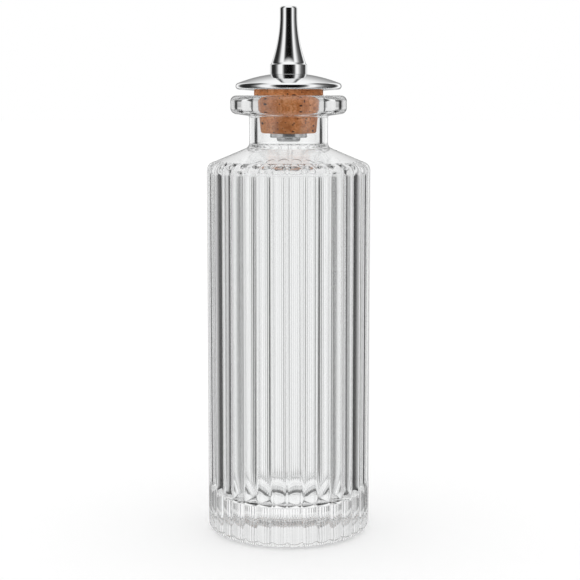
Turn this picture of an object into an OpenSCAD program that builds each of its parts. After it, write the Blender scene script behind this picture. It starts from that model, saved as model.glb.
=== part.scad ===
// Bitters bottle with a dasher top: a fluted clear glass bottle, closed by a drilled cork
// that carries a domed steel disc and a tapered steel spout.
// Millimetres, +Z up. The origin is the centre of the base, on the surface the bottle stands on.

/* [Glass body] */
// Diameter of the body over the crests of the flutes
body_d = 55; // [48:0.5:62]
// Height of the fluted body, from the base to the tops of the flutes
body_h = 126; // [60:0.2:180]
// Number of flutes round the body
flute_count = 34; // [26:2:40]
// Radius of each flute, round its crest and at its two domed ends
flute_r = 3.0; // [2.6:0.1:3.6]
// How far the flutes' upper domes stand out of the shoulder cone
flute_proud = 0.1; // [0.1:0.05:0.6]
// Height of the flutes' lower ends above the base
flute_foot = 0.3; // [0.2:0.1:1]
// Depth from the crests down to the plain glass core between the flutes
core_depth = 1.2; // [1.2:0.1:2]
// Radius of the core's lower corner
base_round = 3.2; // [1:0.1:5]
// Radius of the core's upper corner, where the shoulder starts
shoulder_round = 4; // [2:0.1:4.5]
// Thickness of the wall, from the crests to the chamber
wall = 3.5; // [2.5:0.1:5]
// Thickness of the solid glass base
floor_t = 12.5; // [4:0.5:20]
// Radius of the corner where the chamber's wall meets its floor
floor_round = 5; // [2:0.5:10]
// Diameter of the shallow dish in the underside
dish_d = 38; // [20:1:42]
// Depth of the dish at its middle
dish_h = 0.8; // [0.3:0.1:2]

/* [Shoulder and neck] */
// Slope of the shoulder cone, from level
cone_angle = 23; // [15:0.5:35]
// Thickness of the glass in the shoulder
shoulder_wall = 2.8; // [2:0.1:4]
// Radius of the chamber's upper corner
chamber_round = 2; // [1:0.5:6]
// Outer diameter of the neck
neck_d = 26.4; // [24:0.1:32]
// Diameter of the bore through the neck
bore_d = 21; // [18:0.1:22]
// Radius of the fillet between shoulder and neck
neck_fillet = 2; // [1:0.1:5]
// Rounding of the bore's lower edge, where it opens into the chamber
bore_round = 1.5; // [0.5:0.1:2]
// Height of the mouth above the base
bottle_h = 148; // [145:0.5:220]

/* [Lip] */
// Diameter of the lip
lip_d = 38.9; // [34:0.1:46]
// Height of the lip's rim
lip_h = 6.2; // [4.6:0.1:9]
// How much lower the lip's underside is at the neck than at the rim
lip_drop = 0.5; // [0:0.1:1]
// Radius of the lip's upper edge
lip_top_round = 1.9; // [0.5:0.1:2.2]
// Radius of the lip's lower edge
lip_low_round = 2.1; // [0.5:0.1:2.4]
// Radius of the fillet between lip and neck
lip_fillet = 0.6; // [0.3:0.1:1.2]
// Rounding of the mouth's inner edge
mouth_round = 0.5; // [0.2:0.1:0.6]

/* [Cork] */
// Diameter of the cork's head, which rests on the lip
cork_head_d = 23.1; // [22.8:0.1:28]
// Height of the head, from the lip to the disc
cork_head_h = 1.6; // [1:0.1:4]
// Length of the shank, from the lip down into the neck
cork_shank_h = 12.5; // [8:0.1:13.5]
// Diameter of the shank at its lower end
cork_end_d = 18.7; // [15:0.1:20]
// Gap per side between the top of the shank and the bore
cork_gap = 0.06; // [0.03:0.01:0.1]
// Radius of the shank's lower edge
cork_edge = 0.9; // [0.3:0.1:1.5]

/* [Cap disc] */
// Diameter of the disc
disc_d = 35.4; // [28:0.1:40]
// Height of the dome's apex above the disc's underside
disc_h = 5.8; // [4:0.1:7]
// How much higher the disc's underside is at the rim than at the cork
disc_lift = 0.4; // [0:0.1:0.8]
// Radius of the disc's rounded rim
disc_rim = 1.1; // [0.6:0.1:1.3]

/* [Spout] */
// Diameter of the drum at the spout's foot
drum_d = 12.3; // [10:0.1:16]
// Height of the drum, without its bevel
drum_h = 3.2; // [2:0.1:8]
// Height and width of the bevel on the drum's upper edge
drum_bevel = 0.3; // [0.1:0.1:0.6]
// Height of the flared part, from the drum to the straight tip
flare_h = 16.3; // [8:0.1:25]
// Diameter of the straight tip
tip_d = 5.8; // [5:0.1:7]
// Length of the straight tip
tip_h = 2.7; // [2:0.1:10]
// Radius of the tip's end
tip_round = 0.9; // [0.3:0.1:1]
// Diameter of the outlet in the tip
outlet_d = 2; // [1:0.1:2.6]
// Length of the outlet
outlet_h = 5; // [1:0.5:10]
// Diameter of the passage below the outlet
passage_d = 3; // [2.6:0.1:3.4]

/* [Stem, washer and nut] */
// Outer diameter of the hollow threaded stem
stem_d = 5; // [4.4:0.1:6]
// Diameter of the bore through the stem
stem_bore_d = 3; // [2:0.1:3.4]
// How far the stem screws up into the spout
stem_in = 5; // [3:0.5:7]
// Gap per side between the stem and the holes it passes through
stem_gap = 0.08; // [0.03:0.01:0.2]
// How far the stem's lower end sits inside the nut
stem_recess = 0.2; // [0:0.1:0.5]
// Diameter of the washer under the cork
washer_d = 12.6; // [10:0.1:16]
// Thickness of the washer
washer_t = 1.5; // [0.6:0.1:2.5]
// Radius of the washer's lower edge
washer_edge = 0.4; // [0.1:0.1:0.5]
// Diameter of the round nut
nut_d = 8; // [7:0.1:10]
// Height of the nut
nut_h = 1.3; // [1.2:0.1:4]
// Radius of the nut's lower edge
nut_edge = 0.9; // [0.3:0.1:1]

/* [Hidden] */
$fn = 96;
// Extra length of a cutting solid past the face that it opens
cut = 1;

// Glass outline
body_r = body_d / 2;
core_r = body_r - core_depth;
chamber_r = body_r - wall;
neck_r = neck_d / 2;
bore_r = bore_d / 2;
lip_r = lip_d / 2;
// Circle on which the flutes' centres lie, and the levels of the centres of their domed ends
flute_ring_r = body_r - flute_r;
flute_top = body_h - flute_r;
flute_low = flute_foot + flute_r;
// The shoulder cone runs just under the crowns of the flutes' upper domes. It holds the
// points p for which p * cone_normal is cone_reach, in the plane of radius and height.
cone_normal = [sin(cone_angle), cos(cone_angle)];
cone_reach = [flute_ring_r, flute_top] * cone_normal + flute_r - flute_proud;
lip_z = bottle_h - lip_h;

// Stopper levels, from the lip up and down
disc_z = bottle_h + cork_head_h;
cork_end_z = bottle_h - cork_shank_h;
washer_z = cork_end_z - washer_t;
nut_z = washer_z - nut_h;

// The disc's dome is one sphere that runs smoothly into the rounded rim
disc_r = disc_d / 2;
rim_x = disc_r - disc_rim;
rim_z = disc_z + disc_lift + disc_rim;
dome_rise = disc_z + disc_h - rim_z;
dome_r = (rim_x * rim_x + dome_rise * dome_rise - disc_rim * disc_rim)
         / (2 * (dome_rise - disc_rim));
dome_z = disc_z + disc_h - dome_r;
rim_angle = atan2(rim_z - dome_z, rim_x);
// Slope of the disc's underside, from the cork out to the rim
under_angle = atan2(disc_lift, rim_x - cork_head_d / 2);
drum_r = drum_d / 2;
// The spout stands on a flat on top of the dome, as wide as its drum
seat_angle = acos(drum_r / dome_r);
seat_z = dome_z + dome_r * sin(seat_angle);

// Spout levels, and the large arc of its flared side, upright where it meets the tip
flare_z = seat_z + drum_h + drum_bevel;
tip_z = flare_z + flare_h;
spout_top = tip_z + tip_h;
tip_r = tip_d / 2;
flare_in = drum_r - drum_bevel - tip_r;
flare_r = (flare_h * flare_h + flare_in * flare_in) / (2 * flare_in);
flare_angle = asin(flare_h / flare_r);
stem_top = seat_z + stem_in;
hole_r = stem_d / 2 + stem_gap;

// Points of an arc round c, from angle a to angle b in degrees
function arc(c, r, a, b, n = 8) =
    [for (i = [0 : n]) c + r * [cos(a + (b - a) * i / n), sin(a + (b - a) * i / n)]];

// Height of the centre of a circle at radius x whose edge keeps the distance d above the cone
// that lies depth below the outside of the shoulder
function above_cone(x, d, depth = 0) =
    (cone_reach - depth + d - x * cone_normal[0]) / cone_normal[1];

// Outside of the glass without its flutes
module core_outline() {
    polygon(concat(
        [[0, 0]],
        arc([core_r - base_round, base_round], base_round, -90, 0, 4),
        arc([core_r - shoulder_round, above_cone(core_r - shoulder_round, -shoulder_round)],
            shoulder_round, 0, 90 - cone_angle, 4),
        arc([neck_r + neck_fillet, above_cone(neck_r + neck_fillet, neck_fillet)],
            neck_fillet, 270 - cone_angle, 180),
        arc([neck_r + lip_fillet, lip_z - lip_drop - lip_fillet], lip_fillet, 180, 90, 4),
        arc([lip_r - lip_low_round, lip_z + lip_low_round], lip_low_round, -90, 0),
        arc([lip_r - lip_top_round, bottle_h - lip_top_round], lip_top_round, 0, 90),
        [[0, bottle_h]]
    ));
}

// The hollow inside: mouth, bore, shoulder and chamber
module chamber_outline() {
    polygon(concat(
        [[0, floor_t]],
        arc([chamber_r - floor_round, floor_t + floor_round], floor_round, -90, 0),
        arc([chamber_r - chamber_round,
             above_cone(chamber_r - chamber_round, -chamber_round, shoulder_wall)],
            chamber_round, 0, 90 - cone_angle),
        arc([bore_r + bore_round, above_cone(bore_r + bore_round, bore_round, shoulder_wall)],
            bore_round, 270 - cone_angle, 180, 6),
        arc([bore_r + mouth_round, bottle_h - mouth_round], mouth_round, 180, 90, 4),
        [[bore_r + mouth_round, bottle_h + cut], [0, bottle_h + cut]]
    ));
}

// Copies its children to each flute's centre line
module at_flutes() {
    for (i = [0 : flute_count - 1])
        rotate([0, 0, i * 360 / flute_count])
            translate([flute_ring_r, 0, 0])
                children();
}

// Straight length of the flutes: one scalloped section, pulled upwards
module fluted_wall() {
    translate([0, 0, flute_low])
        linear_extrude(flute_top - flute_low)
            union() {
                circle(r = core_r);
                at_flutes()
                    circle(r = flute_r);
            }
}

// Ring of half spheres that end the flutes
module flute_domes() {
    at_flutes()
        rotate_extrude()
            intersection() {
                circle(r = flute_r);
                square(flute_r + cut);
            }
}

// Shallow dish under the base, part of a large sphere
module dish() {
    dish_r = dish_d / 2;
    dish_sphere_r = (dish_r * dish_r + dish_h * dish_h) / (2 * dish_h);
    translate([0, 0, dish_h - dish_sphere_r])
        sphere(r = dish_sphere_r);
}

module glass_bottle() {
    color([0.80, 0.90, 0.93, 0.45])
        difference() {
            union() {
                rotate_extrude()
                    core_outline();
                fluted_wall();
                translate([0, 0, flute_top])
                    flute_domes();
                translate([0, 0, flute_low])
                    mirror([0, 0, 1])
                        flute_domes();
            }
            rotate_extrude()
                chamber_outline();
            dish();
        }
}

module cork_stopper() {
    color([0.80, 0.53, 0.31])
        rotate_extrude()
            polygon(concat(
                [[hole_r, disc_z], [hole_r, cork_end_z]],
                arc([cork_end_d / 2 - cork_edge, cork_end_z + cork_edge], cork_edge, -90, 0),
                [[bore_r - cork_gap, bottle_h], [cork_head_d / 2, bottle_h],
                 [cork_head_d / 2, disc_z]]
            ));
}

module cap_disc() {
    color([0.78, 0.79, 0.81])
        rotate_extrude()
            polygon(concat(
                [[hole_r, seat_z], [hole_r, disc_z], [cork_head_d / 2, disc_z]],
                arc([rim_x, rim_z], disc_rim, under_angle - 90, rim_angle, 16),
                arc([0, dome_z], dome_r, rim_angle, seat_angle, 16)
            ));
}

module dasher_spout() {
    color([0.74, 0.75, 0.77])
        rotate_extrude()
            polygon(concat(
                [[hole_r, stem_top], [hole_r, seat_z], [drum_r, seat_z],
                 [drum_r, seat_z + drum_h]],
                arc([tip_r + flare_r, tip_z], flare_r, 180 + flare_angle, 180, 24),
                arc([tip_r - tip_round, spout_top - tip_round], tip_round, 0, 90),
                [[outlet_d / 2, spout_top], [outlet_d / 2, spout_top - outlet_h],
                 [passage_d / 2, spout_top - outlet_h], [passage_d / 2, stem_top]]
            ));
}

module stem_tube() {
    color([0.66, 0.67, 0.70])
        translate([0, 0, nut_z + stem_recess])
            difference() {
                cylinder(d = stem_d, h = stem_top - nut_z - stem_recess);
                translate([0, 0, -cut])
                    cylinder(d = stem_bore_d, h = stem_top - nut_z + 2 * cut);
            }
}

// Round ring on the stem, from z up to z + h, with a rounded lower edge
module ring(d, z, h, edge) {
    rotate_extrude()
        polygon(concat(
            [[hole_r, z + h], [hole_r, z]],
            arc([d / 2 - edge, z + edge], edge, -90, 0),
            [[d / 2, z + h]]
        ));
}

module retaining_washer() {
    color([0.62, 0.63, 0.66])
        ring(washer_d, washer_z, washer_t, washer_edge);
}

module retaining_nut() {
    color([0.70, 0.71, 0.73])
        ring(nut_d, nut_z, nut_h, nut_edge);
}

glass_bottle();
cork_stopper();
cap_disc();
dasher_spout();
stem_tube();
retaining_washer();
retaining_nut();
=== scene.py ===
import math
import bpy
import numpy as np
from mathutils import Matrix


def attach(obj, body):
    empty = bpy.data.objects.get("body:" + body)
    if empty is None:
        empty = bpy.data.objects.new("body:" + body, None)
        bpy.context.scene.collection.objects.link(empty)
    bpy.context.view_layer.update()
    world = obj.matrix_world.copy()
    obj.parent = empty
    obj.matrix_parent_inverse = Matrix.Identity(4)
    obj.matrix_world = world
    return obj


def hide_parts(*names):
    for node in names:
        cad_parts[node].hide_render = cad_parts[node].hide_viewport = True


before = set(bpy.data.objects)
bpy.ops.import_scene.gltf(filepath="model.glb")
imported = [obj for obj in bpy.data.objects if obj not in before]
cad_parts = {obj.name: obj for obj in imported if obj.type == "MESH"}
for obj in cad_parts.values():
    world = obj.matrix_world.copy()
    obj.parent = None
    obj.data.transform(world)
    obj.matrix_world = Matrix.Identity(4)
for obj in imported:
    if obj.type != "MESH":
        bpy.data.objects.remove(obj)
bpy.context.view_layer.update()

# Camera
# Eye level with the bottle's mouth, half a metre in front of it, turned down a little so that
# the whole bottle is in view.
eye_distance = 0.492
eye_height = 0.148
eye_azimuth = math.radians(1.15)
tilt_down = math.radians(6.41)
pan_right = math.radians(0.055)
focal_length = 90.8
view_drop = -0.052

camera_data = bpy.data.cameras.new("camera")
camera_data.sensor_width = 36
camera_data.lens = focal_length
camera_data.shift_y = view_drop
camera_data.clip_start = 0.01
camera = bpy.data.objects.new("camera", camera_data)
camera.location = (eye_distance * math.sin(eye_azimuth), -eye_distance * math.cos(eye_azimuth), eye_height)
camera.rotation_euler = (math.pi / 2 - tilt_down, 0, eye_azimuth - pan_right)
bpy.context.scene.collection.objects.link(camera)
bpy.context.scene.camera = camera


# Glass bottle
# Pressed clear glass in one piece: a fluted body with a thick base, a plain shoulder and neck,
# and a thick rounded lip. The flutes end in small domes at the shoulder and at the base.
# Sizes are in millimetres, and grid_mesh() turns them into metres.
MM = 0.001


def arc(centre, radius, start, end, steps=8):
    """Points of an arc: centre + radius * (cos t, sin t), with t from start to end in degrees."""
    t = np.radians(np.linspace(start, end, steps + 1))
    return np.column_stack([centre[0] + radius * np.cos(t), centre[1] + radius * np.sin(t)])


def joined(*runs, near=0.1):
    """Arcs and points in a row, joined by straights. Each straight gets a point close to each of
    its ends, so that smooth shading keeps its middle flat."""
    points = [np.atleast_2d(runs[0])]
    for run in runs[1:]:
        run = np.atleast_2d(np.array(run, float))
        a, b = points[-1][-1], run[0]
        length = np.linalg.norm(b - a)
        if length > 3 * near:
            points.append(np.array([a + (b - a) * near / length, b - (b - a) * near / length]))
        points.append(run)
    return np.concatenate(points)


def smooth_max(a, b, blend):
    """The larger of a and b, with the step between them rounded over blend."""
    return np.maximum(a, b) + np.maximum(blend - np.abs(a - b), 0) ** 2 / (4 * blend)


def grid_mesh(name, radius, height, angle, poles=False):
    """A closed surface from the radius and height of each row and column, in millimetres. Columns
    run round the axis at the angles given. With poles the first and last rows are one point each,
    otherwise the last row joins the first."""
    rows, columns = radius.shape
    points = np.stack([radius * np.cos(angle), radius * np.sin(angle), height], axis=-1)
    index = np.arange(rows * columns).reshape(rows, columns)
    if poles:
        points = np.concatenate([points[0, :1], points[1:-1].reshape(-1, 3), points[-1, :1]])
        index = 1 + np.arange((rows - 2) * columns).reshape(rows - 2, columns)
    right = np.roll(index, -1, axis=1)
    if poles:
        quads = np.stack([index[:-1], right[:-1], right[1:], index[1:]], axis=-1)
        first = np.stack([np.zeros(columns, int), right[0], index[0]], axis=-1)
        last = np.stack([np.full(columns, len(points) - 1), index[-1], right[-1]], axis=-1)
        faces = first.tolist() + quads.reshape(-1, 4).tolist() + last.tolist()
    else:
        quads = np.stack([index, right, np.roll(right, -1, axis=0), np.roll(index, -1, axis=0)], axis=-1)
        faces = quads.reshape(-1, 4).tolist()
    mesh = bpy.data.meshes.new(name)
    mesh.from_pydata((points.reshape(-1, 3) * MM).tolist(), [], faces)
    mesh.polygons.foreach_set("use_smooth", np.ones(len(faces), bool))
    mesh.update()
    piece = bpy.data.objects.new(name, mesh)
    bpy.context.scene.collection.objects.link(piece)
    return piece


def new_material(name):
    """A material with no nodes yet, and its node tree."""
    material = bpy.data.materials.new(name)
    material.use_nodes = True
    material.node_tree.nodes.clear()
    return material, material.node_tree


def node(tree, kind, inputs=(), **settings):
    """A new node. Settings are its own properties, and inputs give a socket, by name or number,
    either a value or the output that feeds it."""
    made = tree.nodes.new(kind)
    for key, value in settings.items():
        setattr(made, key, value)
    for key, value in dict(inputs).items():
        if isinstance(value, bpy.types.NodeSocket):
            tree.links.new(value, made.inputs[key])
        else:
            made.inputs[key].default_value = value
    return made


flute_count = 34
flute_radius = 3.0
flute_ring = 24.5
flute_top = 123.0
flute_low = 3.3
groove_blend = 1.1
crown_blend = 0.2
core_radius = 26.3
core_corner = 3.2
shoulder_corner = 4.0
cone_angle = 23
cone_reach = 125.69
shoulder_wall = 2.8
neck_radius = 13.2
bore_radius = 10.5
chamber_radius = 24
floor_height = 12.5
lip_radius = 19.45
mouth_height = 148
columns_per_flute = 20
cone_normal = np.array([math.sin(math.radians(cone_angle)), math.cos(math.radians(cone_angle))])


def above_cone(x, gap, depth=0):
    """Height, at radius x, of a point that keeps the gap above the shoulder cone, depth below it."""
    return (cone_reach - depth + gap - x * cone_normal[0]) / cone_normal[1]


def far_side(pole, ray, centre, radius):
    """Distance from the pole along the ray to the far side of a circle, or 0 where it is missed."""
    along = (centre[0] - pole[0]) * ray[0] + (centre[1] - pole[1]) * ray[1]
    off = (centre[0] - pole[0]) ** 2 + (centre[1] - pole[1]) ** 2 - along ** 2
    return np.where(radius ** 2 > off, along + np.sqrt(np.maximum(radius ** 2 - off, 0)), 0)


def fluted_rows(pole, thetas, level, core_rays, offset):
    """Rows of a corner where the flutes end. At the angle a from its crest a flute's section has
    the half width w = sqrt(R^2 - (ring sin a)^2) at radius ring cos a. It stands upright as far as
    the level and closes beyond it as a circle of radius w. Along each ray from the pole, the surface
    lies at the rounded maximum of this flute, the next one and the plain core."""
    radii, heights = [], []
    for theta, core in zip(np.radians(thetas), core_rays):
        ray = (math.cos(theta), math.sin(theta))
        reach = []
        for a in (offset, 2 * math.pi / flute_count - np.abs(offset)):
            width = np.sqrt(np.maximum(flute_radius ** 2 - (flute_ring * np.sin(a)) ** 2, 0))
            upright = (flute_ring * np.cos(a) + width - pole[0]) / max(ray[0], 0.1)
            straight = (pole[1] + upright * ray[1] - level) * (level - mouth_height / 2) < 0
            closing = far_side(pole, ray, (flute_ring * np.cos(a), level), width)
            reach.append(np.where(width > 0, np.where(straight & (ray[0] > 0.1), upright, closing), 0))
        t = smooth_max(smooth_max(reach[0], reach[1], groove_blend), core, crown_blend)
        radii.append(pole[0] + t * ray[0])
        heights.append(pole[1] + t * ray[1])
    return np.array(radii), np.array(heights)


s = (np.arange(columns_per_flute) + 0.5) / columns_per_flute * 2 - 1
across = (0.5 * s + 0.5 * np.sin(s * math.pi / 2)) * math.pi / flute_count
crests = np.arange(flute_count) * 2 * math.pi / flute_count
angle = (crests[:, None] + across[None, :]).ravel()
offset = np.tile(across, flute_count)

low_pole = (core_radius - core_corner, core_corner)
low_thetas = np.linspace(-90, 0, 19)[1:]
low = fluted_rows(low_pole, low_thetas, flute_low, [core_corner] * len(low_thetas), offset)

# The core's upper corner is an arc between the upright wall and the cone
corner_x = core_radius - shoulder_corner
high_pole = (corner_x, above_cone(corner_x, -shoulder_corner))
high_thetas = np.concatenate([np.linspace(-20, 90 - cone_angle, 37)[1:], np.linspace(90 - cone_angle, 95, 12)[1:]])
high_core = [shoulder_corner / math.cos(math.radians(min(t, 0))) / math.cos(math.radians(max(t - 90 + cone_angle, 0)))
             for t in high_thetas]
high = fluted_rows(high_pole, high_thetas, flute_top, high_core, offset)

dish_radius = 19
dish_depth = 0.8
dish_sphere = (dish_radius ** 2 + dish_depth ** 2) / (2 * dish_depth)
dish_edge = math.degrees(math.asin(dish_radius / dish_sphere))
foot = joined(arc((0, dish_depth - dish_sphere), dish_sphere, 90, 90 - dish_edge), low_pole[:1] + (0,))
neck_foot = arc((neck_radius + 2, above_cone(neck_radius + 2, 2)), 2, 270 - cone_angle, 180)
top_and_inside = joined(
    (high[0][-1, 0], high[1][-1, 0]),
    neck_foot,
    arc((neck_radius + 0.6, 140.7), 0.6, 180, 90, 6),
    arc((lip_radius - 2.1, 143.9), 2.1, -90, 0, 12),
    arc((lip_radius - 1.9, mouth_height - 1.9), 1.9, 0, 90, 12),
    arc((bore_radius + 0.5, mouth_height - 0.5), 0.5, 90, 180, 6),
    arc((bore_radius + 1.5, above_cone(bore_radius + 1.5, 1.5, shoulder_wall)), 1.5, 180, 270 - cone_angle),
    arc((chamber_radius - 2, above_cone(chamber_radius - 2, -2, shoulder_wall)), 2, 90 - cone_angle, 0, 10),
    arc((chamber_radius - 5, floor_height + 5), 5, 0, -90, 14),
    (0, floor_height))[1:]

columns = len(angle)
wall_shares = np.array([[0.001], [0.999]])
radius = np.concatenate([
    np.tile(foot[:, :1], columns), low[0], low[0][-1] + (high[0][0] - low[0][-1]) * wall_shares, high[0],
    np.tile(top_and_inside[:, :1], columns)])
height = np.concatenate([
    np.tile(foot[:, 1:], columns), low[1], low[1][-1] + (high[1][0] - low[1][-1]) * wall_shares, high[1],
    np.tile(top_and_inside[:, 1:], columns)])
glass = grid_mesh("bottle_glass", radius, height, angle, poles=True)

clear_glass, tree = new_material("clear_glass")
shader = node(tree, "ShaderNodeBsdfPrincipled", {
    "Base Color": (0.98, 0.985, 0.985, 1), "Roughness": 0.0, "IOR": 1.5, "Transmission Weight": 1.0})
node(tree, "ShaderNodeOutputMaterial", {"Surface": shader.outputs["BSDF"]})
glass.data.materials.append(clear_glass)
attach(glass, "bottle")
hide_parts("glass_bottle")


# Cork stopper
# A plug pressed from cork granules, drilled for the stem: a wider head over the mouth and a
# tapered shank that sits in the bore.
def lathe(name, outline, columns=192):
    """A turned piece: the closed outline of radius and height carried once round the axis."""
    angle = np.arange(columns) * 2 * math.pi / columns
    return grid_mesh(name, np.tile(outline[:, :1], columns), np.tile(outline[:, 1:], columns), angle)


hole_radius = 2.58
disc_height = 149.6
cork_end = 135.5
cork_head_radius = 11.55
cork_end_radius = 9.35
cork_top_radius = 10.44
cork = lathe("cork_plug", joined(
    (hole_radius, disc_height), (hole_radius, cork_end),
    arc((cork_end_radius - 0.9, cork_end + 0.9), 0.9, -90, 0),
    (cork_top_radius, mouth_height), (cork_head_radius - 0.1, mouth_height),
    (cork_head_radius, mouth_height + 0.1), (cork_head_radius, disc_height)), 320)

def sum_of(tree, a, b, factor=1.0, clamp=False):
    """The output a * factor + b, where each is a socket or a number."""
    made = node(tree, "ShaderNodeMath", {0: a, 1: factor, 2: b}, operation="MULTIPLY_ADD", use_clamp=clamp)
    return made.outputs[0]


def ramp(tree, share, stops):
    """Colour along a share, straight between stops of a position and a colour or a grey level."""
    made = node(tree, "ShaderNodeValToRGB", {"Fac": share})
    elements = made.color_ramp.elements
    while len(elements) < len(stops):
        elements.new(0.5)
    for element, (position, colour) in zip(elements, stops):
        element.position = position
        element.color = (*colour, 1) if isinstance(colour, tuple) else (colour, colour, colour, 1)
    return made.outputs["Color"]


def in_millimetres(tree, scale=(1, 1, 1)):
    """Object coordinates in millimetres, times a scale along each axis."""
    place = node(tree, "ShaderNodeTexCoord").outputs["Object"]
    return node(tree, "ShaderNodeMapping", {"Vector": place, "Scale": [v / MM for v in scale]}).outputs[0]


def noise(tree, place, scale, detail=2.0):
    """Noise from 0 to 1 with so many waves in a millimetre."""
    return node(tree, "ShaderNodeTexNoise", {"Vector": place, "Scale": scale, "Detail": detail}).outputs[0]


def specks(tree, place, scale, share, largest):
    """Mask of ragged specks: in a share of the cells of a Voronoi pattern, the cell's middle out to
    a size that differs from cell to cell, up to the largest."""
    cells = node(tree, "ShaderNodeTexVoronoi", {"Vector": place, "Scale": scale})
    chance = node(tree, "ShaderNodeSeparateColor", {"Color": cells.outputs["Color"]})
    ragged = sum_of(tree, noise(tree, place, scale * 3.0, 3.0), cells.outputs["Distance"], 0.5)
    size = node(tree, "ShaderNodeMapRange", {
        "Value": chance.outputs[0], "From Min": 1 - share, "From Max": 1.0, "To Min": 0.0, "To Max": largest})
    return sum_of(tree, sum_of(tree, ragged, size.outputs[0], -1.0), 3.2, 14.0, clamp=True)


cork_granules, tree = new_material("cork_granules")
place = in_millimetres(tree)
bend = node(tree, "ShaderNodeTexNoise", {"Vector": place, "Scale": 1.1, "Detail": 3.0})
bent = node(tree, "ShaderNodeVectorMath", {0: bend.outputs["Color"], 1: (1.1, 1.1, 1.1), 2: place},
            operation="MULTIPLY_ADD").outputs[0]
granules = node(tree, "ShaderNodeTexVoronoi", {"Vector": bent, "Scale": 0.72})
crumbs = node(tree, "ShaderNodeTexVoronoi", {"Vector": bent, "Scale": 2.0})
granule_tone = node(tree, "ShaderNodeSeparateColor", {"Color": granules.outputs["Color"]}).outputs[0]
crumb_tone = node(tree, "ShaderNodeSeparateColor", {"Color": crumbs.outputs["Color"]}).outputs[0]
grain = noise(tree, place, 5.0, 5.0)
tone = sum_of(tree, crumb_tone, sum_of(tree, granule_tone, sum_of(tree, grain, -0.2, 0.6), 0.45), 0.35)
tan = ramp(tree, tone, [(0.0, (0.36, 0.09, 0.02)), (0.3, (0.62, 0.20, 0.055)), (0.55, (0.80, 0.31, 0.11)),
                        (0.8, (0.88, 0.41, 0.18)), (1.0, (0.92, 0.52, 0.28))])
# Painted shade: large-scale noise darkens the cork in patches to a deeper brown, standing in for the shade under the
# disc
painted_shade_patches = ramp(tree, noise(tree, place, 0.16, 3.0), [(0.5, 0.0), (0.72, 0.8)])
painted_shade_tan = node(tree, "ShaderNodeMix", {"Factor": painted_shade_patches, 6: tan, 7: (0.40, 0.125, 0.03, 1)}, data_type="RGBA")
seams = node(tree, "ShaderNodeTexVoronoi", {"Vector": bent, "Scale": 0.72}, feature="DISTANCE_TO_EDGE")
seam = ramp(tree, seams.outputs["Distance"], [(0.0, 0.35), (0.05, 0.0)])
seamed = node(tree, "ShaderNodeMix", {"Factor": seam, 6: painted_shade_tan.outputs[2], 7: (0.26, 0.07, 0.018, 1)},
              data_type="RGBA")
flat_place = in_millimetres(tree, (1, 1, 1.7))
large = specks(tree, flat_place, 0.5, 0.6, 0.44)
small = specks(tree, place, 1.3, 0.5, 0.36)
bark = node(tree, "ShaderNodeMath", {0: large, 1: small}, operation="MAXIMUM").outputs[0]
colour = node(tree, "ShaderNodeMix", {"Factor": bark, 6: seamed.outputs[2], 7: (0.012, 0.006, 0.004, 1)},
              data_type="RGBA")
height = sum_of(tree, bark, sum_of(tree, seam, sum_of(tree, grain, 0.0, 0.5), -0.6), -1.0)
bump = node(tree, "ShaderNodeBump", {"Height": height, "Strength": 0.7, "Distance": 0.06 * MM})
shader = node(tree, "ShaderNodeBsdfPrincipled", {
    "Base Color": colour.outputs[2], "Roughness": sum_of(tree, grain, 0.5, 0.25), "Normal": bump.outputs[0],
    "Specular IOR Level": 0.35})
node(tree, "ShaderNodeOutputMaterial", {"Surface": shader.outputs["BSDF"]})
cork.data.materials.append(cork_granules)
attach(cork, "stopper")
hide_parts("cork_stopper")

# Cap disc
# Polished stainless steel, turned to a low dome with a rounded rim. It is clamped on the cork
# by the spout.
disc_radius = 17.7
disc_rise = 5.8
disc_lift = 0.4
disc_rim = 1.1
drum_radius = 6.15
rim_x = disc_radius - disc_rim
rim_height = disc_height + disc_lift + disc_rim
dome_rise = disc_height + disc_rise - rim_height
dome_radius = (rim_x ** 2 + dome_rise ** 2 - disc_rim ** 2) / (2 * (dome_rise - disc_rim))
dome_centre = disc_height + disc_rise - dome_radius
rim_angle = math.degrees(math.atan2(rim_height - dome_centre, rim_x))
under_angle = math.degrees(math.atan2(disc_lift, rim_x - cork_head_radius))
seat_angle = math.degrees(math.acos(drum_radius / dome_radius))
seat_height = dome_centre + dome_radius * math.sin(math.radians(seat_angle))
disc = lathe("disc_dome", joined(
    (hole_radius, seat_height), (hole_radius, disc_height), (cork_head_radius, disc_height),
    arc((rim_x, rim_height), disc_rim, under_angle - 90, rim_angle, 24),
    arc((0, dome_centre), dome_radius, rim_angle, seat_angle, 24)[1:]), 256)

turning = bpy.data.node_groups.new("turning_marks", "ShaderNodeTree")
for name, kind, way in (("Place", "NodeSocketVector", "INPUT"), ("Roughness", "NodeSocketFloat", "INPUT"),
                        ("Smudge", "NodeSocketFloat", "INPUT"), ("Roughness", "NodeSocketFloat", "OUTPUT"),
                        ("Height", "NodeSocketFloat", "OUTPUT")):
    turning.interface.new_socket(name, in_out=way, socket_type=kind)
given = node(turning, "NodeGroupInput")
axes = node(turning, "ShaderNodeSeparateXYZ", {0: given.outputs["Place"]})
flat = node(turning, "ShaderNodeCombineXYZ", {0: axes.outputs[0], 1: axes.outputs[1]})
reach = node(turning, "ShaderNodeVectorMath", {0: flat.outputs[0]}, operation="LENGTH").outputs["Value"]
rings = node(turning, "ShaderNodeCombineXYZ", {0: reach, 2: axes.outputs[2]}).outputs[0]
marks = noise(turning, rings, 9.0, 3.0)
smudge = noise(turning, given.outputs["Place"], 0.35, 4.0)
marred = node(turning, "ShaderNodeMath", {0: smudge, 1: given.outputs["Smudge"], 2: given.outputs["Roughness"]},
              operation="MULTIPLY_ADD").outputs[0]
node(turning, "NodeGroupOutput", {"Roughness": sum_of(turning, marks, marred, 0.02), "Height": marks})


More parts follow.
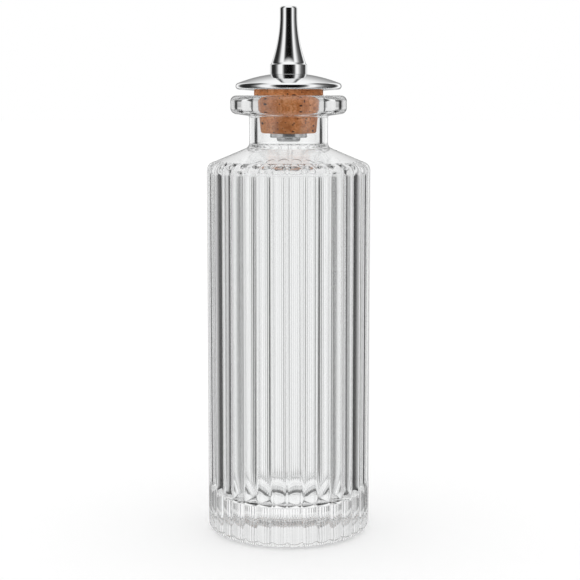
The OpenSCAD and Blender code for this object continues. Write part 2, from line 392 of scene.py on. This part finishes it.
def steel(name, colour, roughness, smudge, bump_height):
    """Stainless steel with fine marks of turning round the axis and faint smudges."""
    material, tree = new_material(name)
    marks = node(tree, "ShaderNodeGroup", node_tree=turning)
    tree.links.new(in_millimetres(tree), marks.inputs["Place"])
    marks.inputs["Roughness"].default_value = roughness
    marks.inputs["Smudge"].default_value = smudge
    bump = node(tree, "ShaderNodeBump", {
        "Height": marks.outputs["Height"], "Strength": 1.0, "Distance": bump_height * MM})
    shader = node(tree, "ShaderNodeBsdfPrincipled", {
        "Base Color": (*colour, 1), "Metallic": 1.0, "Roughness": marks.outputs["Roughness"],
        "Normal": bump.outputs[0]})
    node(tree, "ShaderNodeOutputMaterial", {"Surface": shader.outputs["BSDF"]})
    return material


polished_steel = steel("polished_steel", (0.78, 0.785, 0.79), 0.03, 0.05, 0.00006)
disc.data.materials.append(polished_steel)
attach(disc, "stopper")
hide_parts("cap_disc")

# Dasher spout
# Turned from stainless steel and polished: a drum foot, a flared neck and a straight tip with a
# small outlet. It screws down on the stem.
drum_rise = 3.2
drum_bevel = 0.3
flare_rise = 16.3
tip_radius = 2.9
tip_rise = 2.7
tip_round = 0.9
stem_in = 5
flare_foot = seat_height + drum_rise + drum_bevel
tip_foot = flare_foot + flare_rise
spout_top = tip_foot + tip_rise
flare_in = drum_radius - drum_bevel - tip_radius
flare_radius = (flare_rise ** 2 + flare_in ** 2) / (2 * flare_in)
flare_angle = math.degrees(math.asin(flare_rise / flare_radius))
stem_top = seat_height + stem_in
spout = lathe("dasher_spout_body", joined(
    (hole_radius, stem_top), (hole_radius, seat_height), (drum_radius, seat_height),
    (drum_radius, seat_height + drum_rise - 0.05), (drum_radius - 0.05, seat_height + drum_rise + 0.05),
    arc((tip_radius + flare_radius, tip_foot), flare_radius, 180 + flare_angle, 180, 32),
    arc((tip_radius - tip_round, spout_top - tip_round), tip_round, 0, 90, 10),
    (1.0, spout_top), (1.0, spout_top - 5), (1.5, spout_top - 5), (1.5, stem_top)), 192)
spout.data.materials.append(polished_steel)
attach(spout, "stopper")
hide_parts("dasher_spout")

# Stem tube
# A hollow steel stem through the cork. It holds the spout, the disc and the washer together and
# carries the liquid up.
cork_end_washer = cork_end - 1.5
nut_foot = cork_end_washer - 1.3
stem = lathe("hollow_stem", joined(
    (1.5, stem_top), (1.5, nut_foot + 0.2), (2.5, nut_foot + 0.2), (2.5, stem_top)), 96)

turned_steel = steel("turned_steel", (0.66, 0.665, 0.67), 0.09, 0.12, 0.0004)
stem.data.materials.append(turned_steel)
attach(stem, "stopper")
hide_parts("stem_tube")

# Washer and nut
# A turned steel washer under the cork, and the round nut that draws the stack together.
for name, stands_for, ring_radius, low_z, high_z, edge in (
        ("washer_ring", "retaining_washer", 6.3, cork_end_washer, cork_end, 0.4),
        ("round_nut", "retaining_nut", 4.0, nut_foot, cork_end_washer, 0.9)):
    ring = lathe(name, joined(
        (hole_radius, high_z), (hole_radius, low_z),
        arc((ring_radius - edge, low_z + edge), edge, -90, 0),
        (ring_radius, high_z - 0.08), (ring_radius - 0.08, high_z)), 128)
    ring.data.materials.append(turned_steel)
    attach(ring, "stopper")
    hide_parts(stands_for)

# Studio surround
# Soft boxes at both sides of a dark front, a white backdrop behind and a soft box overhead.
studio = bpy.data.worlds.new("studio")
bpy.context.scene.world = studio
studio.use_nodes = True
tree = studio.node_tree
tree.nodes.clear()
direction = node(tree, "ShaderNodeTexCoord").outputs["Generated"]
axes = node(tree, "ShaderNodeSeparateXYZ", {0: direction}).outputs
towards_front = sum_of(tree, axes[1], 0.0, -1.0)
turn = node(tree, "ShaderNodeMath", {0: axes[0], 1: towards_front}, operation="ARCTAN2").outputs[0]
azimuth = sum_of(tree, turn, 0.5, 0.5 / math.pi)
rise = node(tree, "ShaderNodeMath", {0: axes[2]}, operation="ARCSINE").outputs[0]
elevation = sum_of(tree, rise, 0.5, 1 / math.pi)


def by_azimuth(stops):
    """Light by azimuth: degrees from the front, positive to the right, and levels."""
    return ramp(tree, azimuth, [(0.5 + degrees / 360, level) for degrees, level in stops])


def by_elevation(below, above, low, high):
    """One light below an elevation in degrees, the other above a second one, and a blend between."""
    share = ramp(tree, elevation, [(0.5 + below / 180, 0.0), (0.5 + above / 180, 1.0)])
    return choose(share, low, high)


def choose(share, low, high):
    """The blend of two lights, each a socket or a level."""
    low, high = [(v, v, v, 1) if isinstance(v, float) else v for v in (low, high)]
    return node(tree, "ShaderNodeMix", {"Factor": share, 6: low, 7: high}, data_type="RGBA").outputs[2]


# What polished steel mirrors: a dark front between two soft boxes, dark sides, white behind
mirrored = by_azimuth([(-150, 1.2), (-138, 0.7), (-130, 0.1), (-115, 0.02), (-90, 0.04), (-76, 0.3),
                       (-62, 1.1), (-42, 1.2), (-33, 0.4), (-25, 0.03), (-8, 0.006), (20, 0.004),
                       (30, 0.04), (40, 0.2), (49, 1.1), (60, 1.2), (72, 0.7), (86, 0.2), (104, 0.08),
                       (122, 0.04), (132, 0.3), (142, 1.2)])
mirrored_high = by_azimuth([(-180, 0.7), (-140, 0.5), (-112, 0.04), (-85, 0.08), (-60, 0.9), (-40, 1.2),
                            (40, 1.2), (60, 0.9), (85, 0.15), (112, 0.06), (140, 0.5), (180, 0.7)])
mirrored = by_elevation(37, 41, mirrored, mirrored_high)
# Behind, the light falls off towards the horizon. The dome and every grazed edge show it.
backdrop = ramp(tree, elevation, [(0.5 + degrees / 180, level) for degrees, level in (
    (14, 0.33), (20, 0.48), (27, 0.7), (35, 1.08), (43, 1.2))])
behind = by_azimuth([(-162, 1.0), (-152, 0.0), (152, 0.0), (162, 1.0)])
mirrored = choose(behind, mirrored, backdrop)
mirrored = by_elevation(56, 66, mirrored, 1.2)

# What clear glass bends into view: dark bands behind at both sides, narrower for the rays at
# eye level that cross the neck and the lip
refracted = by_azimuth([(-180, 1.0), (-162, 1.0), (-152, 0.5), (-145, 0.04), (-128, 0.03), (-119, 0.6),
                        (-84, 0.55), (-60, 1.0), (-30, 0.4), (36, 0.4), (60, 1.0), (84, 0.55), (119, 0.6),
                        (128, 0.03), (145, 0.04), (152, 0.5), (162, 1.0), (180, 1.0)])
refracted_neck = by_azimuth([(-180, 0.95), (-142, 0.9), (-138, 0.02), (-124, 0.02), (-120, 0.75), (-84, 0.45),
                             (-60, 0.8), (-40, 0.9), (-25, 0.03), (36, 0.03), (46, 0.9), (60, 0.8), (84, 0.45),
                             (120, 0.75), (124, 0.02), (138, 0.02), (142, 0.9), (180, 0.95)])
refracted_lip = by_azimuth([(-180, 0.9), (-133, 0.8), (-130, 0.02), (-126, 0.02), (-123, 0.7), (-100, 0.75),
                            (-84, 0.4), (-60, 0.8), (-40, 0.9), (-25, 0.03), (36, 0.03), (46, 0.9), (60, 0.8),
                            (84, 0.4), (100, 0.75), (123, 0.7), (126, 0.02), (130, 0.02), (133, 0.8), (180, 0.9)])
refracted = by_elevation(-3.0, -2.4, refracted, refracted_neck)
refracted = by_elevation(-0.8, -0.6, refracted, refracted_lip)
refracted = by_elevation(8, 30, refracted, 0.85)

path = node(tree, "ShaderNodeLightPath").outputs
soft = by_elevation(10, 50, 1.15, 0.8)
light = choose(path["Is Glossy Ray"], soft, mirrored)
light = choose(path["Is Transmission Ray"], light, refracted)
scattered = node(tree, "ShaderNodeMath", {0: path["Diffuse Depth"], 1: 0.5}, operation="GREATER_THAN").outputs[0]
light = choose(scattered, light, soft)
light = choose(path["Is Camera Ray"], light, 1.0)
background = node(tree, "ShaderNodeBackground", {"Color": light})
node(tree, "ShaderNodeOutputWorld", {"Surface": background.outputs[0]})

# Floor
# A plain pale floor, which shows the bottle's soft shadow.
mesh = bpy.data.meshes.new("floor")
mesh.from_pydata([(-8, -8, 0), (8, -8, 0), (8, 8, 0), (-8, 8, 0)], [], [(0, 1, 2, 3)])
floor = bpy.data.objects.new("floor", mesh)
bpy.context.scene.collection.objects.link(floor)
floor_white, tree = new_material("floor_white")
path = node(tree, "ShaderNodeLightPath").outputs
diffuse = node(tree, "ShaderNodeBsdfDiffuse", {"Color": (0.8, 0.8, 0.8, 1)})
glow = node(tree, "ShaderNodeEmission", {"Strength": sum_of(tree, path["Is Camera Ray"], 0.0, 0.32)})
lit = node(tree, "ShaderNodeAddShader", {0: diffuse.outputs[0], 1: glow.outputs[0]})
through = node(tree, "ShaderNodeBsdfTransparent")
bent_or_mirrored = node(tree, "ShaderNodeMath", {0: path["Is Transmission Ray"], 1: path["Is Glossy Ray"]},
                        operation="MAXIMUM")
seen = node(tree, "ShaderNodeMixShader", {0: bent_or_mirrored.outputs[0], 1: lit.outputs[0],
                                          2: through.outputs[0]})
node(tree, "ShaderNodeOutputMaterial", {"Surface": seen.outputs[0]})
mesh.materials.append(floor_white)

# Light meets many faces inside the thick glass before it leaves
bpy.context.scene.cycles.max_bounces = 32
bpy.context.scene.cycles.transmission_bounces = 32
bpy.context.scene.cycles.glossy_bounces = 16
bpy.context.scene.view_settings.view_transform = "Standard"
